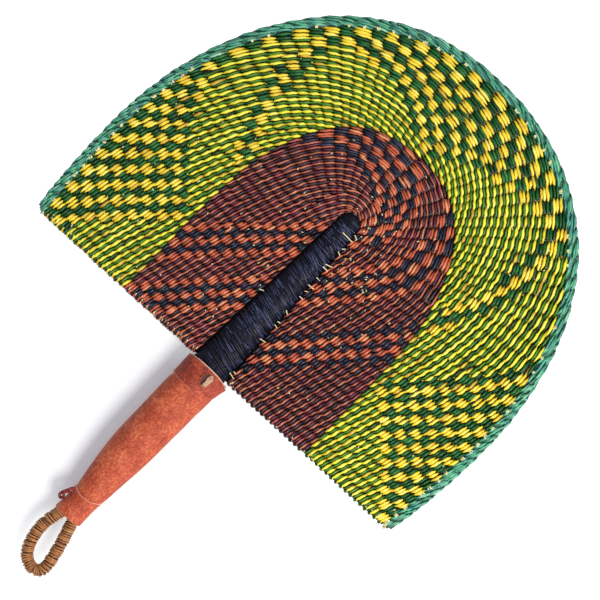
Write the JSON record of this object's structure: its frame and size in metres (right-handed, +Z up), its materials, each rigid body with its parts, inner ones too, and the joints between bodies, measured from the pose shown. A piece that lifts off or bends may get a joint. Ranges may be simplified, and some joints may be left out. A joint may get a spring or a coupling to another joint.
{
  "type": "woven hand fan",
  "caption": "Rigid hand fan twined from dyed grass on ribs round a wound spine, with a checked and striped blade, teal border, leather handle and hanging loop",
  "frame": {"origin": "under the middle of the fan's box, on the surface that it lies on", "axes": "+X across the blade, +Y along the handle towards the top of the blade, +Z up out of its front face"},
  "size_m": [0.312, 0.4288, 0.0261],
  "materials": {
    "natural_straw": "dry grass straw",
    "navy_straw": "dyed grass straw, satin",
    "inner_weft": "twined dyed straw in orange, maroon and navy",
    "outer_weft": "twined dyed straw in yellow and green",
    "teal_straw": "twined dyed straw, satin",
    "leather": "dyed goatskin with an open, suede-like grain",
    "peg_wood": "cut stick end",
    "golden_straw": "wound golden grass straw"
  },
  "bodies": {
    "root": {"straw_core": "natural_straw", "spine_winding": "navy_straw", "inner_field_weft": "inner_weft", "outer_field_weft": "outer_weft", "border_weft": "teal_straw", "cross_rib_01": "natural_straw", "cross_rib_02": "natural_straw", "cross_rib_03": "natural_straw", "cross_rib_04": "natural_straw", "cross_rib_05": "natural_straw", "cross_rib_06": "natural_straw", "cross_rib_07": "natural_straw", "cross_rib_08": "natural_straw", "cross_rib_09": "natural_straw", "cross_rib_10": "natural_straw", "cross_rib_11": "natural_straw", "cross_rib_12": "natural_straw", "cross_rib_13": "natural_straw", "cross_rib_14": "natural_straw", "cross_rib_15": "natural_straw", "cross_rib_16": "natural_straw", "cross_rib_17": "natural_straw", "cross_rib_18": "natural_straw", "cross_rib_19": "natural_straw", "tip_rib_01": "natural_straw", "tip_rib_02": "natural_straw", "tip_rib_03": "natural_straw", "tip_rib_04": "natural_straw", "tip_rib_05": "natural_straw", "tip_rib_06": "natural_straw", "tip_rib_07": "natural_straw", "tip_rib_08": "natural_straw", "tip_rib_09": "natural_straw", "tip_rib_10": "natural_straw", "leather_sleeve": "leather", "upper_collar": "leather", "lower_collar": "leather", "handle_peg": "peg_wood", "collar_lace": "leather", "hanging_loop_rope": "golden_straw", "hanging_loop_winding": "golden_straw"}
  },
  "joints": []
}
